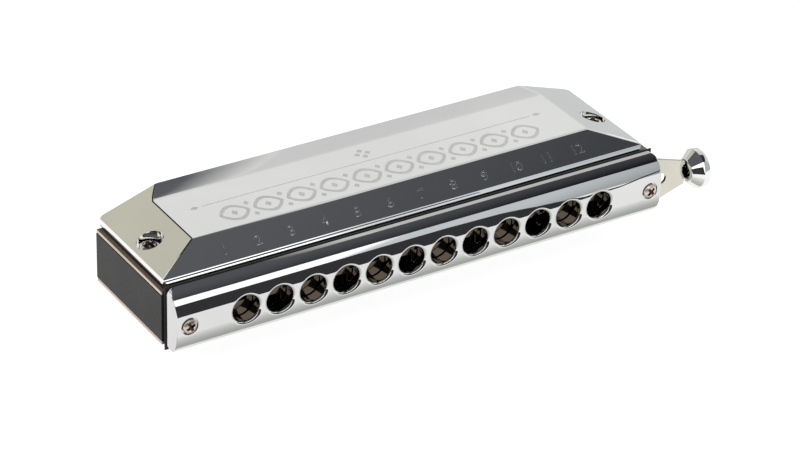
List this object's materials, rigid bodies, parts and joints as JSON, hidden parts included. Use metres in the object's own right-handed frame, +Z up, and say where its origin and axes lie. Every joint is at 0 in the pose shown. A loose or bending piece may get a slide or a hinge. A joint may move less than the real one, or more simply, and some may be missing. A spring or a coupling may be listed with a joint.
{
  "type": "chromatic harmonica",
  "caption": "Slide harmonica with a round-hole mouthpiece, stamped metal covers open at the back, a plastic comb with reed plates, and a sprung button slide.",
  "frame": {"origin": "centre of the lower cover's flat outer face, on which the instrument lies", "axes": "+X along the row of holes towards the slide button, +Y from the mouthpiece to the open back of the covers, +Z up through both covers"},
  "size_m": [0.1603, 0.0442, 0.0292],
  "materials": {
    "chrome": "polished chrome plate",
    "nickel": "satin nickel plate",
    "brass": "rolled sheet",
    "bronze": "milled phosphor bronze",
    "steel": "nickel plated steel",
    "black_plastic": "satin moulded ABS",
    "rubber": "soft black rubber"
  },
  "bodies": {
    "body": {"comb": "black_plastic", "upper_reed_plate": "brass", "lower_reed_plate": "brass", "upper_cover": "chrome", "lower_cover": "chrome", "mouthpiece": "chrome", "slide_back_plate": "nickel", "comb_gasket": "rubber", "return_spring": "steel", "spring_post": "steel", "left_bumper": "rubber", "right_bumper": "rubber", "mouthpiece_screw_left": "steel", "mouthpiece_screw_right": "steel", "upper_cover_screw_left": "steel", "upper_cover_screw_right": "steel", "lower_cover_screw_left": "steel", "lower_cover_screw_right": "steel", "cover_post_left": "brass", "cover_post_right": "brass", "upper_reed_01": "bronze", "upper_reed_02": "bronze", "upper_reed_03": "bronze", "upper_reed_04": "bronze", "upper_reed_05": "bronze", "upper_reed_06": "bronze", "upper_reed_07": "bronze", "upper_reed_08": "bronze", "upper_reed_09": "bronze", "upper_reed_10": "bronze", "upper_reed_11": "bronze", "upper_reed_12": "bronze", "lower_reed_01": "bronze", "lower_reed_02": "bronze", "lower_reed_03": "bronze", "lower_reed_04": "bronze", "lower_reed_05": "bronze", "lower_reed_06": "bronze", "lower_reed_07": "bronze", "lower_reed_08": "bronze", "lower_reed_09": "bronze", "lower_reed_10": "bronze", "lower_reed_11": "bronze", "lower_reed_12": "bronze", "upper_plate_screw_1": "steel", "upper_plate_screw_2": "steel", "upper_plate_screw_3": "steel", "upper_plate_screw_4": "steel", "lower_plate_screw_1": "steel", "lower_plate_screw_2": "steel", "lower_plate_screw_3": "steel", "lower_plate_screw_4": "steel"},
    "slide": {"slide": "nickel", "button": "chrome"}
  },
  "joints": [
    {"name": "slide_push", "type": "slide", "parent": "body", "child": "slide", "axis": [-1, 0, 0], "range_m": [0, 0.00475], "stiffness_N_per_m": 250, "springref_m": -0.004, "deforming": ["return_spring"]}
  ]
}
